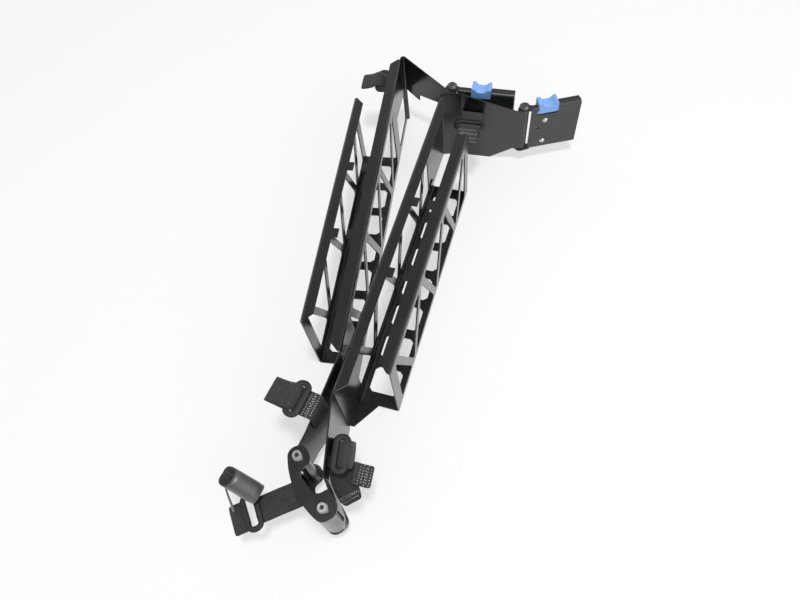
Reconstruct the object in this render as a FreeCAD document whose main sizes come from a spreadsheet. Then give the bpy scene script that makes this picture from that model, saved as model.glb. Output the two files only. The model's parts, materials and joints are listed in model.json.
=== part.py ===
import FreeCAD, Part
import math
import os
import Sketcher

# Folding cable arm for a two-unit rack server, lying on its lower edges.
# Millimetres, +Z up. The row's origin is the fixing hole in the outer bracket,
# +X runs along the outer bracket towards the rail, and every hinge axis is vertical.

os.makedirs("parts", exist_ok=True)
doc = FreeCAD.newDocument("cable_arm")

# Driving dimensions
SIZES = [
    ("arm_height", 84.0, "height of the trough walls"),
    ("sheet_gauge", 1.2, "steel of the troughs"),
    ("trough_width", 38.0, "outside width of a trough"),
    ("trough_length", 242.0, "length of a trough"),
    ("trough_start", 102.0, "elbow pin to the near end of the trough"),
    ("lip_width", 10.0, "inward lip along the top of a wall"),
    ("flange_height", 12.0, "upturned flange that joins a tray to its long wall"),
    ("bend_radius", 2.0, "inside radius of a press bend"),
    ("tongue_start", 79.0, "elbow pin to the tip of the floor's tongue"),
    ("tongue_tip", 3.4, "width of that tongue at its tip"),
    ("tongue_base", 19.0, "width of that tongue at the trough"),
    ("floor_pitch", 32.6, "spacing of the floor openings"),
    ("floor_opening", 23.6, "floor opening along the trough"),
    ("floor_opening_width", 25.0, "floor opening across the trough"),
    ("floor_corner", 3.0, "corner radius of a floor opening"),
    ("truss_pitch", 73.0, "spacing of the wall's upper triangles"),
    ("truss_base", 58.0, "base of a wall triangle"),
    ("truss_rail", 8.0, "solid strip above and below the triangles"),
    ("truss_corner", 3.0, "corner radius of a wall triangle"),
    ("tab_length", 9.0, "retaining tab along the lip"),
    ("tab_width", 5.0, "retaining tab across the lip"),
    ("hinge_low", 15.0, "underside of the hinge leaves"),
    ("hinge_high", 69.0, "top of the hinge leaves"),
    ("hinge_gauge", 1.5, "steel of the hinge leaves and brackets"),
    ("axial_gap", 0.3, "end play of a knuckle between its leaves"),
    ("pin_radius", 3.0, "hinge pin"),
    ("pin_clearance", 0.05, "radial clearance of a knuckle or bush on its pin"),
    ("knuckle_wall", 1.8, "wall of a rolled knuckle"),
    ("head_radius", 5.0, "domed head of a bracket's hinge pin"),
    ("elbow_head_radius", 3.8, "domed head of an elbow pin"),
    ("head_height", 3.6, "height of a domed head"),
    ("wall_run", 404.0, "elbow pin to the far end of the rear long wall"),
    ("rear_mount_across", 71.9, "rear arm's hinge pin from the centre line"),
    ("rear_mount_along", 379.9, "rear arm's hinge pin from the elbow pin"),
    ("front_wall_run", 390.0, "elbow pin to the far end of the front long wall"),
    ("front_mount_across", 60.3, "front arm's hinge pin from the centre line"),
    ("front_mount_along", 402.6, "front arm's hinge pin from the elbow pin"),
    ("crease_across", 19.0, "long wall to the crease in the front end plate"),
    ("crease_along", 5.0, "rise of that crease beyond the wall's end"),
    ("elbow_bend", 78.0, "elbow pin to the bend in a long wall"),
    ("band_reach", 18.0, "stretch of wall beside an elbow pin at hinge height"),
    ("notch_width", 16.0, "cable notch in the rear end plate"),
    ("notch_height", 42.0, "height of that notch"),
    ("nose_radius", 8.5, "rounded end of the front arm"),
    ("hook_angle", 40.0, "direction of the sheet where it meets the rounded end"),
    ("hook_run", 22.0, "straight sheet before the rounded end"),
    ("nose_end_angle", 230.0, "where the rounded end stops"),
    ("elbow_span", 42.0, "distance between the two elbow pins"),
    ("elbow_depth", 12.4, "crown of the elbow plates from the line of pins"),
    ("elbow_bow", 64.0, "radius of the elbow plates' outer edge"),
    ("elbow_sweep", 23.3, "half the angle of that edge, degrees"),
    ("elbow_crown", 22.3, "rear elbow pin to the crown, along the line of pins"),
    ("guide_inset", 0.8, "guide inside the elbow plates' outer edge"),
    ("eye_radius", 8.0, "elbow plate round the rear elbow pin"),
    ("outer_neck", 20.0, "outer hinge pin to the release tab"),
    ("inner_neck", 12.5, "inner hinge pin to the release tab"),
    ("release_length", 19.0, "release tab along the bracket"),
    ("socket_length", 23.0, "rail socket along the bracket"),
    ("housing_depth", 8.7, "latch housing behind the bracket plate"),
    ("tongue_gap", 6.4, "slot for the rail's tongue"),
    ("tongue_height", 42.0, "height of that slot"),
    ("web_start", 6.0, "hinge pin to the start of the bracket plate"),
    ("release_travel", 3.0, "stroke of the release tab"),
    ("slide_gap", 0.3, "clearance round the release tab and its stem"),
    ("fixing_radius", 1.75, "fixing hole in a bracket"),
    ("fixing_across", 1.5, "fixing hole beyond the release tab's near end"),
    ("fixing_height", 43.0, "height of the fixing hole"),
    ("rivet_across", 8.0, "rivets beyond the release tab's near end"),
    ("rivet_low", 24.0, "height of the lower rivet"),
    ("rivet_high", 52.0, "height of the upper rivet"),
    ("rivet_radius", 1.6, "shank of a rivet"),
    ("rivet_head", 2.6, "head of a rivet"),
    ("rivet_crown", 0.9, "height of a rivet's head"),
    ("rear_lean", -4.5, "rear arm's lean from +Y at rest, degrees"),
    ("front_lean", 3.9, "front arm's lean from +Y at rest, degrees"),
    ("elbow_turn", 48.1, "elbow line's turn below +X at rest, degrees"),
    ("inner_turn", 22.0, "inner bracket's turn above +X at rest, degrees"),
    ("strap_width", 20.0, "width of a hook-and-loop strap"),
    ("strap_gauge", 1.6, "thickness of a strap"),
    ("strap_bend", 2.2, "inside radius of a strap's fold"),
    ("strap_fold", 5.2, "gap inside a strap's flat fold"),
    ("elbow_strap_top", 76.6, "underside of the strap that crosses the rear arm's edge by the elbow"),
    ("elbow_strap_reach", 38.0, "reach of that strap from the wall"),
    ("elbow_strap_place", 35.5, "elbow pin to that strap, along the arm"),
    ("mount_strap_height", 66.0, "height of the rear mount strap"),
    ("mount_strap_reach", 36.0, "reach of that strap from the wall"),
    ("mount_strap_place", 384.0, "elbow pin to that strap, along the arm"),
    ("end_strap_height", 62.0, "height of the front mount strap"),
    ("end_strap_reach", 36.0, "reach of that strap from the end plate"),
    ("end_strap_across", 12.0, "centre line to that strap"),
    ("arch_height", 60.0, "top of the arched strap on the front arm"),
    ("arch_depth", 19.0, "depth of that arch"),
    ("arch_place", 43.5, "elbow pin to that arch, along the arm"),
    ("guide_strap_reach", 55.0, "reach of the strap on the elbow guide"),
    ("guide_strap_height", 36.0, "height of that strap"),
    ("guide_strap_turn", 7.3, "place of that strap round the guide, degrees before the crown"),
    ("guide_ring_reach", 39.6, "guide to the ring on that strap"),
    ("roll_size", 15.8, "opening of the strap's roll"),
    ("roll_width", 27.0, "length of that roll"),
    ("roll_reach", 39.4, "guide to the middle of that roll"),
    ("roll_across", 19.2, "middle of the strap to that roll"),
    ("roll_turn", 41.0, "skew of that roll across the strap, degrees"),
    ("buckle_length", 30.0, "length of a strap's ring"),
    ("buckle_width", 14.0, "width of a strap's ring"),
    ("buckle_gauge", 3.4, "thickness of a strap's ring"),
    ("buckle_slot", 6.0, "width of the slot in a strap's ring"),
    ("slot_width", 3.5, "width of the strap slot in the rounded end"),
    ("slot_height", 34.0, "height of that slot"),
    ("slot_place", 1.5, "elbow pin to that slot, along the arm"),
    ("slot_rise", 5.0, "middle of that slot above the middle of the hinge"),
    ("seat_gap", 0.3, "clearance of a soft piece from its neighbours"),
]

sheet = doc.addObject("Spreadsheet::Sheet", "Sizes")
for row, (alias, value, meaning) in enumerate(SIZES, start=1):
    sheet.set(f"A{row}", meaning)
    sheet.set(f"B{row}", str(value))
    sheet.setAlias(f"B{row}", alias)
doc.recompute()


def number(expression):
    """Value of an expression in the sheet's aliases."""
    result = sheet.evalExpression(expression)
    return float(getattr(result, "Value", result))


def named(text):
    """Write an alias as the document's expressions need it."""
    for alias in sorted((entry[0] for entry in SIZES), key=len, reverse=True):
        text = replace_word(text, alias)
    return text


def replace_word(text, alias):
    pieces = []
    start = 0
    while True:
        place = text.find(alias, start)
        if place < 0:
            pieces.append(text[start:])
            return "".join(pieces)
        end = place + len(alias)
        before = text[place - 1] if place else " "
        after = text[end] if end < len(text) else " "
        whole = not (before.isalnum() or before in "_.") and not (after.isalnum() or after == "_")
        pieces.append(text[start:place] + ("Sizes." + alias if whole else alias))
        start = end


def value(text):
    return number(named(text))


def new_body(label):
    body = doc.addObject("PartDesign::Body", label)
    body.Label = label
    return body


def new_sketch(body, plane, offset="0"):
    """Sketch on one of the body's own planes, moved along the plane's normal."""
    sketch = body.newObject("Sketcher::SketchObject", body.Label + "_sketch")
    support = [item for item in body.Origin.OriginFeatures if item.Role == plane][0]
    sketch.AttachmentSupport = [(support, "")]
    sketch.MapMode = "FlatFace"
    sketch.setExpression(".AttachmentOffset.Base.z", named(offset))
    return sketch


def place_point(sketch, geometry, position, x, y):
    first = sketch.addConstraint(Sketcher.Constraint("DistanceX", -1, 1, geometry, position, value(x)))
    sketch.setExpression(f"Constraints[{first}]", named(x))
    second = sketch.addConstraint(Sketcher.Constraint("DistanceY", -1, 1, geometry, position, value(y)))
    sketch.setExpression(f"Constraints[{second}]", named(y))


def fix_radius(sketch, geometry, radius):
    index = sketch.addConstraint(Sketcher.Constraint("Radius", geometry, value(radius)))
    sketch.setExpression(f"Constraints[{index}]", named(radius))


def circle(sketch, radius, x="0", y="0"):
    centre = FreeCAD.Vector(value(x), value(y), 0)
    index = sketch.addGeometry(Part.Circle(centre, FreeCAD.Vector(0, 0, 1), value(radius)))
    place_point(sketch, index, 3, x, y)
    fix_radius(sketch, index, radius)


def corner_arc(before, corner, after, radius):
    """Tangent points and arc of a rounded corner."""
    back = (before - corner).normalize()
    ahead = (after - corner).normalize()
    half = back.getAngle(ahead) / 2
    reach = radius / math.tan(half)
    middle = corner + (back + ahead).normalize() * (radius / math.sin(half))
    return corner + back * reach, corner + ahead * reach, middle


def outline(sketch, corners, radius=None, radii=None):
    """Closed outline through the corners, each rounded by its own radius or left sharp."""
    count = len(corners)
    radii = radii or [radius] * count
    points = [FreeCAD.Vector(value(x), value(y), 0) for x, y in corners]
    starts = list(points)
    ends = list(points)
    arcs = [None] * count
    for index in range(count):
        if radii[index]:
            before = points[index - 1]
            after = points[(index + 1) % count]
            arrive, leave, middle = corner_arc(before, points[index], after, value(radii[index]))
            ends[index] = arrive
            starts[index] = leave
            left = (points[index] - before).cross(after - points[index]).z > 0
            arcs[index] = (arrive, leave, middle, left)
    lines = []
    for index in range(count):
        follower = (index + 1) % count
        lines.append(sketch.addGeometry(Part.LineSegment(starts[index], ends[follower])))
    for index in range(count):
        previous = lines[index - 1]
        current = lines[index]
        x, y = corners[index]
        if arcs[index] is None:
            sketch.addConstraint(Sketcher.Constraint("Coincident", previous, 2, current, 1))
            place_point(sketch, current, 1, x, y)
            continue
        add_corner(sketch, previous, current, arcs[index])
        fix_radius(sketch, sketch.GeometryCount - 1, radii[index])
        mark = sketch.addGeometry(Part.Point(points[index]), True)
        sketch.addConstraint(Sketcher.Constraint("PointOnObject", mark, 1, previous))
        sketch.addConstraint(Sketcher.Constraint("PointOnObject", mark, 1, current))
        place_point(sketch, mark, 1, x, y)


def add_corner(sketch, previous, current, corner):
    """Arc between two lines, tangent to both."""
    arrive, leave, middle, left = corner
    first, last = (arrive, leave) if left else (leave, arrive)
    radius = (arrive - middle).Length
    round_edge = Part.Circle(middle, FreeCAD.Vector(0, 0, 1), radius)
    begin = math.atan2(first.y - middle.y, first.x - middle.x)
    finish = math.atan2(last.y - middle.y, last.x - middle.x)
    arc = sketch.addGeometry(Part.ArcOfCircle(round_edge, begin, finish))
    sketch.addConstraint(Sketcher.Constraint("Tangent", previous, 2, arc, 1 if left else 2))
    sketch.addConstraint(Sketcher.Constraint("Tangent", arc, 2 if left else 1, current, 1))


def bent_sheet(sketch, corners, gauge, side, inner_radius):
    """Bent strip of sheet: the corners lie on one face, side +1 puts the metal on the left."""
    face = [FreeCAD.Vector(value(x), value(y), 0) for x, y in corners]
    thick = value(gauge)
    normals = []
    for first, last in zip(face, face[1:]):
        run = (last - first).normalize()
        normals.append(FreeCAD.Vector(-run.y, run.x, 0) * side)
    back = [face[0] + normals[0] * thick]
    for point, first, last in zip(face[1:-1], normals, normals[1:]):
        back.append(point + (first + last) * (thick / (1 + first.dot(last))))
    back.append(face[-1] + normals[-1] * thick)
    bends = []
    for index in range(1, len(face) - 1):
        turn = (face[index] - face[index - 1]).cross(face[index + 1] - face[index]).z
        bends.append(turn > 0)
    outer = f"{inner_radius} + {gauge}"
    face_radii = [inner_radius if left == (side < 0) else outer for left in bends]
    back_radii = [inner_radius if radius == outer else outer for radius in face_radii]
    face_lines = strip_edge(sketch, face, face_radii)
    back_lines = strip_edge(sketch, back, back_radii)
    for index, (x, y) in enumerate(corners):
        if index == 0:
            place_point(sketch, face_lines[0], 1, x, y)
        elif index == len(corners) - 1:
            place_point(sketch, face_lines[-1], 2, x, y)
        else:
            mark = sketch.addGeometry(Part.Point(face[index]), True)
            sketch.addConstraint(Sketcher.Constraint("PointOnObject", mark, 1, face_lines[index - 1]))
            sketch.addConstraint(Sketcher.Constraint("PointOnObject", mark, 1, face_lines[index]))
            place_point(sketch, mark, 1, x, y)
    for front_line, back_line in zip(face_lines, back_lines):
        sketch.addConstraint(Sketcher.Constraint("Parallel", front_line, back_line))
        index = sketch.addConstraint(Sketcher.Constraint("Distance", back_line, 1, front_line, thick))
        sketch.setExpression(f"Constraints[{index}]", named(gauge))
    for position, line in ((1, 0), (2, -1)):
        near = face[0] if position == 1 else face[-1]
        far = back[0] if position == 1 else back[-1]
        cap = sketch.addGeometry(Part.LineSegment(near, far))
        sketch.addConstraint(Sketcher.Constraint("Coincident", cap, 1, face_lines[line], position))
        sketch.addConstraint(Sketcher.Constraint("Coincident", cap, 2, back_lines[line], position))
        sketch.addConstraint(Sketcher.Constraint("Perpendicular", cap, face_lines[line]))


def strip_edge(sketch, points, radii):
    """Open chain of lines with a tangent arc at each inner corner."""
    starts = list(points)
    ends = list(points)
    corners = []
    for index, radius in enumerate(radii, start=1):
        before = points[index - 1]
        after = points[index + 1]
        arrive, leave, middle = corner_arc(before, points[index], after, value(radius))
        ends[index] = arrive
        starts[index] = leave
        left = (points[index] - before).cross(after - points[index]).z > 0
        corners.append((arrive, leave, middle, left))
    lines = []
    for index in range(len(points) - 1):
        lines.append(sketch.addGeometry(Part.LineSegment(starts[index], ends[index + 1])))
    for index, corner in enumerate(corners):
        add_corner(sketch, lines[index], lines[index + 1], corner)
        fix_radius(sketch, sketch.GeometryCount - 1, radii[index])
    return lines


def pad(body, sketch, length, reverse=False):
    feature = body.newObject("PartDesign::Pad", body.Label + "_pad")
    feature.Profile = sketch
    feature.setExpression("Length", named(length))
    feature.Reversed = reverse
    return feature


def pocket(body, sketch, length=None, reverse=False):
    """Cut to a depth, or right through both ways when no depth is given."""
    feature = body.newObject("PartDesign::Pocket", body.Label + "_pocket")
    feature.Profile = sketch
    if length is None:
        feature.Type = "ThroughAll"
        feature.SideType = "Symmetric"
    else:
        feature.setExpression("Length", named(length))
        feature.Reversed = reverse
    return feature


def row_of(body, feature, sketch, count, length):
    """Repeat a cut along the sketch's horizontal axis."""
    pattern = body.newObject("PartDesign::LinearPattern", body.Label + "_row")
    pattern.Originals = [feature]
    pattern.Direction = (sketch, ["H_Axis"])
    pattern.setExpression("Length", named(length))
    pattern.Occurrences = count
    body.Tip = pattern
    return pattern


KNUCKLE = "(pin_radius + pin_clearance + knuckle_wall)"
KNUCKLE_LOW = "(hinge_low + hinge_gauge + axial_gap)"
KNUCKLE_HIGH = "(hinge_high - hinge_gauge - axial_gap)"
HALF = "(trough_width / 2)"
LIP_FOOT = "(arm_height - bend_radius - 2 * sheet_gauge)"
REAR_LIP = ("(elbow_bend + sheet_gauge)", "(wall_run - 4 * sheet_gauge)")
FRONT_LIP = ("(elbow_bend + sheet_gauge)", "(front_wall_run - 4 * sheet_gauge)")
TRAY_LIP = ("trough_start", "(trough_start + trough_length)")
FLOOR_COUNT = 7


def rows_start(count, pitch):
    """First of a row of openings that is centred on the trough."""
    return f"(trough_start + trough_length / 2 - {count - 1} * {pitch} / 2)"


def nipped(corners, share):
    """Points of an outline whose corners are cut off at a share of each edge."""
    points = []
    for index, (x, y) in enumerate(corners):
        for next_x, next_y in (corners[index - 1], corners[(index + 1) % len(corners)]):
            points.append((f"{x} + ({next_x} - ({x})) * {share}", f"{y} + ({next_y} - ({y})) * {share}"))
    return points


def cut_truss(body):
    """Upper and lower triangles of a wall, with half triangles at both ends."""
    low = "truss_rail"
    high = "(arm_height - truss_rail)"
    middle = rows_start(3, "truss_pitch")
    share = "(truss_corner / truss_base)"
    upper = new_sketch(body, "YZ_Plane")
    corners = [
        (f"{middle} - truss_base / 2", high),
        (middle, low),
        (f"{middle} + truss_base / 2", high),
    ]
    outline(upper, nipped(corners, share))
    row_of(body, pocket(body, upper), upper, 3, "2 * truss_pitch")
    between = f"({middle} + truss_pitch / 2)"
    lower = new_sketch(body, "YZ_Plane")
    corners = [
        (f"{between} - truss_base / 2", low),
        (f"{between} + truss_base / 2", low),
        (between, high),
    ]
    outline(lower, nipped(corners, share))
    row_of(body, pocket(body, lower), lower, 2, "truss_pitch")
    reach = "(truss_base / 2)"
    near = f"({middle} - truss_pitch / 2)"
    far = f"({middle} + 5 * truss_pitch / 2)"
    for post, way in ((near, "+"), (far, "-")):
        end = new_sketch(body, "YZ_Plane")
        corners = [(post, low), (f"{post} {way} {reach}", low), (post, high)]
        outline(end, nipped(corners, share))
        pocket(body, end)


def make_tabs(label, wall_side):
    """Retaining tabs on a lip's inner edge, at two nodes of the truss."""
    width = value("tab_width")
    edge = wall_side * value(f"{HALF} - lip_width")
    side = min(edge, edge - wall_side * width)
    shapes = []
    for node in (0.5, 1.5):
        near = value(f"{rows_start(3, 'truss_pitch')} + {node} * truss_pitch - tab_length / 2")
        corner = FreeCAD.Vector(side, near, value("arm_height - sheet_gauge"))
        shapes.append(Part.makeBox(width, value("tab_length"), value("sheet_gauge"), corner))
    return make_group(label, shapes)


def make_tray(label, wall_side):
    """Floor and outer wall of a trough, folded from one sheet. The long wall is at wall_side."""
    body = new_body(label)
    section = new_sketch(body, "XZ_Plane", "-trough_start")
    joint = f"{wall_side} * ({HALF} - sheet_gauge)"
    outer = f"{-wall_side} * {HALF}"
    corners = [
        (joint, "flange_height"),
        (joint, "0"),
        (outer, "0"),
        (outer, LIP_FOOT),
    ]
    bent_sheet(section, corners, "sheet_gauge", -wall_side, "bend_radius")
    pad(body, section, "trough_length", True)
    tongue = new_sketch(body, "XY_Plane")
    root = "(trough_start + sheet_gauge)"
    corners = [
        (joint, root),
        (joint, "tongue_start"),
        (f"{joint} - {wall_side} * tongue_tip", "tongue_start"),
        (f"{joint} - {wall_side} * tongue_base", root),
    ]
    outline(tongue, corners)
    pad(body, tongue, "sheet_gauge")
    opening = new_sketch(body, "XY_Plane")
    first = rows_start(FLOOR_COUNT, "floor_pitch")
    across = "(floor_opening_width / 2)"
    corners = [
        (f"-{across}", f"{first} - floor_opening / 2"),
        (across, f"{first} - floor_opening / 2"),
        (across, f"{first} + floor_opening / 2"),
        (f"-{across}", f"{first} + floor_opening / 2"),
    ]
    outline(opening, nipped(corners, "(floor_corner / floor_opening)"))
    cut = pocket(body, opening, "3 * sheet_gauge", True)
    pattern = body.newObject("PartDesign::LinearPattern", label + "_row")
    pattern.Originals = [cut]
    pattern.Direction = (opening, ["V_Axis"])
    pattern.setExpression("Length", named(f"{FLOOR_COUNT - 1} * floor_pitch"))
    pattern.Occurrences = FLOOR_COUNT
    body.Tip = pattern
    cut_truss(body)
    return body


def make_lip(label, wall_side, start, end):
    """Lip folded inwards along the top of a wall, with its ends cut back."""
    body = new_body(label)
    section = new_sketch(body, "XZ_Plane", f"-{start}")
    outer = f"{wall_side} * {HALF}"
    inner = f"{wall_side} * ({HALF} - lip_width)"
    corners = [(outer, LIP_FOOT), (outer, "arm_height"), (inner, "arm_height")]
    bent_sheet(section, corners, "sheet_gauge", wall_side, "bend_radius")
    pad(body, section, f"{end} - {start}", True)
    reach = "(lip_width * 0.7)"
    for place, way in ((start, "-"), (end, "+")):
        corner = new_sketch(body, "XY_Plane")
        past = f"({place} {way} 1)"
        back = f"({place} {way} (-{reach}))"
        beyond = f"{wall_side} * ({HALF} - lip_width - 1)"
        outside = f"{wall_side} * ({HALF} - lip_width + {reach})"
        corners = [(outside, past), (beyond, past), (beyond, back), (inner, back), (outside, place)]
        outline(corner, corners)
        pocket(body, corner)
    return body


def cut_lip_seat(body, wall_side, start, end):
    """Lower the wall's edge where the lip stands on it."""
    seat = new_sketch(body, "XY_Plane", LIP_FOOT)
    outer = f"{wall_side} * {HALF}"
    within = f"{wall_side} * ({HALF} - 2 * sheet_gauge)"
    outline(seat, [(outer, start), (outer, end), (within, end), (within, start)])
    pocket(body, seat, f"arm_height - {LIP_FOOT} + 1", True)


def cut_band(body, plane, corners):
    """Cut a wall down to hinge height, by a profile right through."""
    profile = new_sketch(body, plane)
    outline(profile, corners)
    pocket(body, profile)


def cut_elbow_taper(body):
    """The wall narrows to hinge height towards the elbow pin."""
    past = "-2 * nose_radius"
    above = "arm_height + sheet_gauge"
    below = "-sheet_gauge"
    top = [(past, KNUCKLE_HIGH), ("band_reach", KNUCKLE_HIGH), ("elbow_bend", "arm_height"),
           ("elbow_bend", above), (past, above)]
    cut_band(body, "YZ_Plane", top)
    bottom = [(past, below), ("elbow_bend", below), ("elbow_bend * 0.65", "0"),
              ("band_reach", KNUCKLE_LOW), (past, KNUCKLE_LOW)]
    cut_band(body, "YZ_Plane", bottom)


def add_knuckle(body, x, y, outer, low=KNUCKLE_LOW, high=KNUCKLE_HIGH):
    """Rolled knuckle, then the pin's bore through it."""
    ring = new_sketch(body, "XY_Plane", low)
    circle(ring, outer, x, y)
    pad(body, ring, f"{high} - {low}")
    bore = new_sketch(body, "XY_Plane")
    circle(bore, "pin_radius + pin_clearance", x, y)
    pocket(body, bore)


def make_rear_wall():
    """Rear arm's long wall: elbow leaf, trough side, end plate and two knuckles in one sheet."""
    body = new_body("rear_long_wall")
    plan = new_sketch(body, "XY_Plane")
    corners = [
        (f"-({KNUCKLE} - sheet_gauge)", "0"),
        (HALF, "elbow_bend"),
        (HALF, "wall_run"),
        ("rear_mount_across", f"rear_mount_along - {KNUCKLE}"),
    ]
    bent_sheet(plan, corners, "sheet_gauge", 1, "bend_radius")
    pad(body, plan, "arm_height")
    edge = f"({HALF} + 2 * sheet_gauge)"
    far = "rear_mount_across + lip_width"
    close = f"rear_mount_across - {KNUCKLE} - 2 * sheet_gauge"
    top = [(edge, "arm_height"), (close, KNUCKLE_HIGH), (far, KNUCKLE_HIGH),
           (far, "arm_height + sheet_gauge"), (edge, "arm_height + sheet_gauge")]
    cut_band(body, "XZ_Plane", top)
    bottom = [(edge, "-sheet_gauge"), (far, "-sheet_gauge"), (far, KNUCKLE_LOW),
              (f"{edge} + notch_width + sheet_gauge", KNUCKLE_LOW),
              (f"{edge} + notch_width", "notch_height * 0.8"), (edge, "notch_height")]
    cut_band(body, "XZ_Plane", bottom)
    cut_elbow_taper(body)
    window = new_sketch(body, "YZ_Plane")
    start = "(trough_start + trough_length + truss_rail)"
    corners = [(start, "truss_rail"), ("wall_run - truss_rail", "truss_rail"),
               ("wall_run - truss_rail", "notch_height"), (start, "arm_height / 2 + truss_rail")]
    outline(window, nipped(corners, "(truss_corner / truss_base)"))
    pocket(body, window)
    cut_truss(body)
    cut_lip_seat(body, 1, *REAR_LIP)
    add_knuckle(body, "0", "0", KNUCKLE)
    add_knuckle(body, "rear_mount_across", "rear_mount_along", KNUCKLE)
    return body


def make_front_wall():
    """Front arm's long wall: rounded end, trough side, creased end plate and knuckle."""
    body = new_body("front_long_wall")
    ring = new_sketch(body, "XY_Plane", KNUCKLE_LOW)
    circle(ring, "nose_radius")
    circle(ring, "nose_radius - sheet_gauge")
    pad(body, ring, f"{KNUCKLE_HIGH} - {KNUCKLE_LOW}")
    reach = "(2 * nose_radius)"
    gap = new_sketch(body, "XY_Plane")
    corners = [
        ("0", "0"),
        (f"{reach} * cos(hook_angle)", f"{reach} * sin(hook_angle)"),
        ("0", reach),
        (f"-{reach}", reach),
        (f"-{reach}", f"-{reach} / 2"),
        (f"{reach} * cos(nose_end_angle)", f"{reach} * sin(nose_end_angle)"),
    ]
    outline(gap, corners)
    pocket(body, gap)
    plan = new_sketch(body, "XY_Plane")
    inside = "(nose_radius - sheet_gauge)"
    seam_x = f"{inside} * cos(hook_angle)"
    seam_y = f"{inside} * sin(hook_angle)"
    corners = [
        (seam_x, seam_y),
        (f"{seam_x} - hook_run * sin(hook_angle)", f"{seam_y} + hook_run * cos(hook_angle)"),
        (f"-{HALF}", "elbow_bend"),
        (f"-{HALF}", "front_wall_run"),
        (f"-{HALF} + crease_across", "front_wall_run + crease_along"),
        ("front_mount_across", f"front_mount_along - {KNUCKLE} + sheet_gauge"),
    ]
    bent_sheet(plan, corners, "sheet_gauge", -1, "bend_radius")
    pad(body, plan, "arm_height")
    far = "front_mount_across + lip_width"
    close = f"front_mount_across - {KNUCKLE} - 2 * sheet_gauge"
    inner = f"(lip_width - {HALF})"
    top = [(inner, "arm_height"), (close, KNUCKLE_HIGH), (far, KNUCKLE_HIGH),
           (far, "arm_height + sheet_gauge"), (inner, "arm_height + sheet_gauge")]
    cut_band(body, "XZ_Plane", top)
    rise = "(front_mount_across / 2)"
    bottom = [(rise, "-sheet_gauge"), (far, "-sheet_gauge"), (far, KNUCKLE_LOW), (close, KNUCKLE_LOW),
              (rise, "0")]
    cut_band(body, "XZ_Plane", bottom)
    cut_elbow_taper(body)
    cut_truss(body)
    cut_lip_seat(body, -1, *FRONT_LIP)
    cut_strap_slot(body)
    add_knuckle(body, "front_mount_across", "front_mount_along", KNUCKLE)
    return body


def cut_strap_slot(body):
    """Upright slot for a strap in the rounded end."""
    slot = new_sketch(body, "YZ_Plane", "nose_radius + sheet_gauge")
    centre = "((hinge_low + hinge_high) / 2 + slot_rise)"
    corners = [
        ("slot_place - slot_width / 2", f"{centre} - slot_height / 2"),
        ("slot_place + slot_width / 2", f"{centre} - slot_height / 2"),
        ("slot_place + slot_width / 2", f"{centre} + slot_height / 2"),
        ("slot_place - slot_width / 2", f"{centre} + slot_height / 2"),
    ]
    outline(slot, corners)
    pocket(body, slot, "3 * sheet_gauge")


def make_bush(label, outer):
    """Plain bush on a hinge pin."""
    body = new_body(label)
    ring = new_sketch(body, "XY_Plane", KNUCKLE_LOW)
    circle(ring, outer)
    circle(ring, "pin_radius + pin_clearance")
    pad(body, ring, f"{KNUCKLE_HIGH} - {KNUCKLE_LOW}")
    return body


def make_pin(label, head):
    """Hinge pin turned with a stepped head and a low peened foot."""
    body = new_body(label)
    section = new_sketch(body, "XZ_Plane")
    foot = "(hinge_low - rivet_crown)"
    flare = "(pin_radius + rivet_crown)"
    corners = [
        ("0", foot),
        ("pin_radius", foot),
        (flare, "hinge_low"),
        ("pin_radius", "hinge_low"),
        ("pin_radius", "hinge_high"),
        (head, "hinge_high"),
        (head, "hinge_high + head_height * 0.45"),
        (f"{head} * 0.6", "hinge_high + head_height"),
        ("0", "hinge_high + head_height"),
    ]
    outline(section, corners)
    turned = body.newObject("PartDesign::Revolution", label + "_turned")
    turned.Profile = section
    turned.ReferenceAxis = (section, ["V_Axis"])
    turned.Angle = 360
    return body


def elbow_outline(sketch):
    """Crescent of the elbow plates, from the rear pin's eye to the front pin's eye."""
    eye = "eye_radius"
    far_eye = "(eye_radius + 1)"
    tip = "(elbow_depth + elbow_bow * (1 / cos(elbow_sweep) - 1))"
    near_drop = f"(-{tip} + (elbow_crown + {eye}) * tan(elbow_sweep))"
    far_drop = f"(-{tip} + (elbow_span + {far_eye} - elbow_crown) * tan(elbow_sweep))"
    corners = [
        (f"-{eye}", eye),
        (f"-{eye}", near_drop),
        ("elbow_crown", f"-{tip}"),
        (f"elbow_span + {far_eye}", far_drop),
        (f"elbow_span + {far_eye}", f"{eye} + 1.5"),
        ("elbow_span - 10.5", f"{eye} + 1.5"),
        ("elbow_span - 10.5", "-1"),
        (f"{eye} + 2", "-5"),
        (eye, eye),
    ]
    radii = [f"{eye} - 0.5", f"{eye} - 1", "elbow_bow", f"{eye} - 1", f"{eye} - 0.5",
             "2", "6", "5", f"{eye} - 0.8"]
    outline(sketch, corners, radii=radii)


def make_elbow_plate(label, low):
    body = new_body(label)
    plan = new_sketch(body, "XY_Plane", low)
    elbow_outline(plan)
    pad(body, plan, "hinge_gauge")
    for x in ("0", "elbow_span"):
        hole = new_sketch(body, "XY_Plane")
        circle(hole, "pin_radius", x, "0")
        pocket(body, hole)
    return body


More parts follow.
